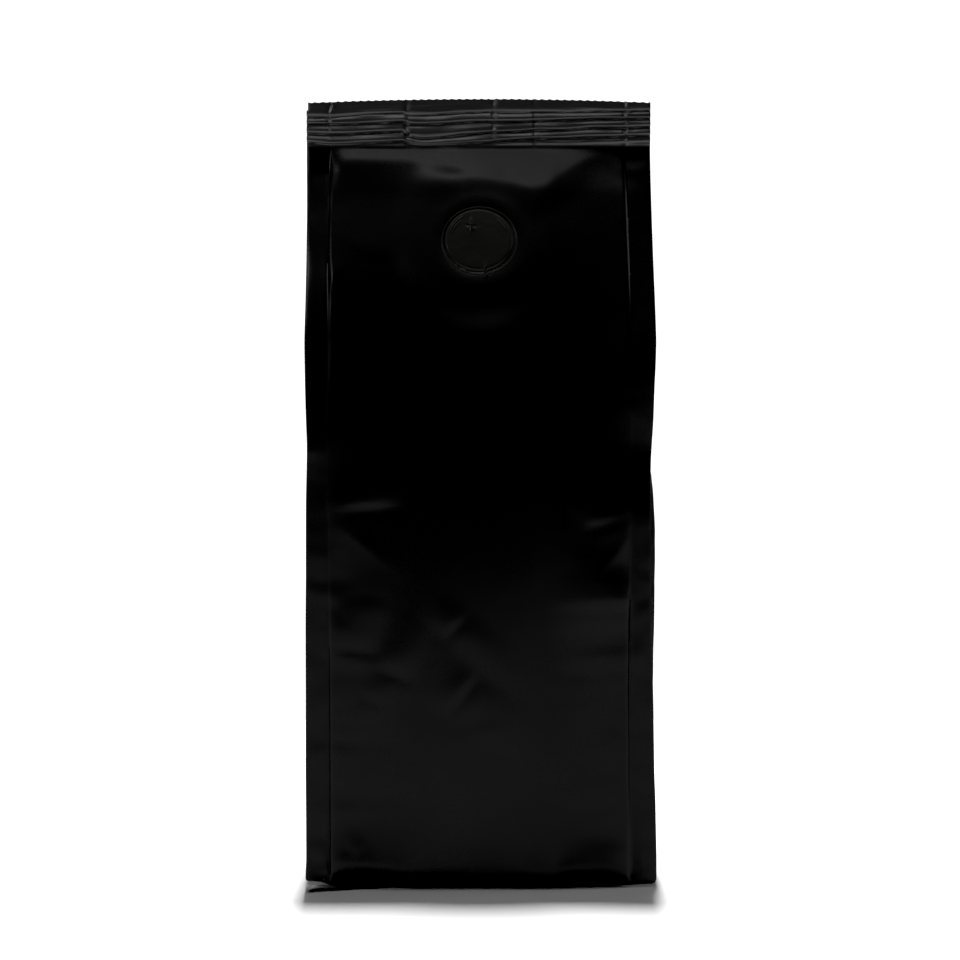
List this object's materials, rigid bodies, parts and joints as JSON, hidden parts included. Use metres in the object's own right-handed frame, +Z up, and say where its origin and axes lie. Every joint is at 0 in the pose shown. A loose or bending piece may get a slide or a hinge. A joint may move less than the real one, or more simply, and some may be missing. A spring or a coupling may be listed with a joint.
{
  "type": "coffee bag",
  "caption": "Filled and shut coffee bag of black film, with side gussets, welded corner fins, a crimped top seal and a round degassing valve.",
  "frame": {"origin": "on the floor, under the middle of the bag", "axes": "+Z up, the front panel with the valve faces -Y, +X is to the right seen from the front"},
  "size_m": [0.0934, 0.0578, 0.2135],
  "materials": {
    "film": "satin black laminate film",
    "valve": "satin black, a little greyer than the film"
  },
  "bodies": {
    "root": {"bag": "film", "degassing_valve": "valve"}
  },
  "joints": []
}
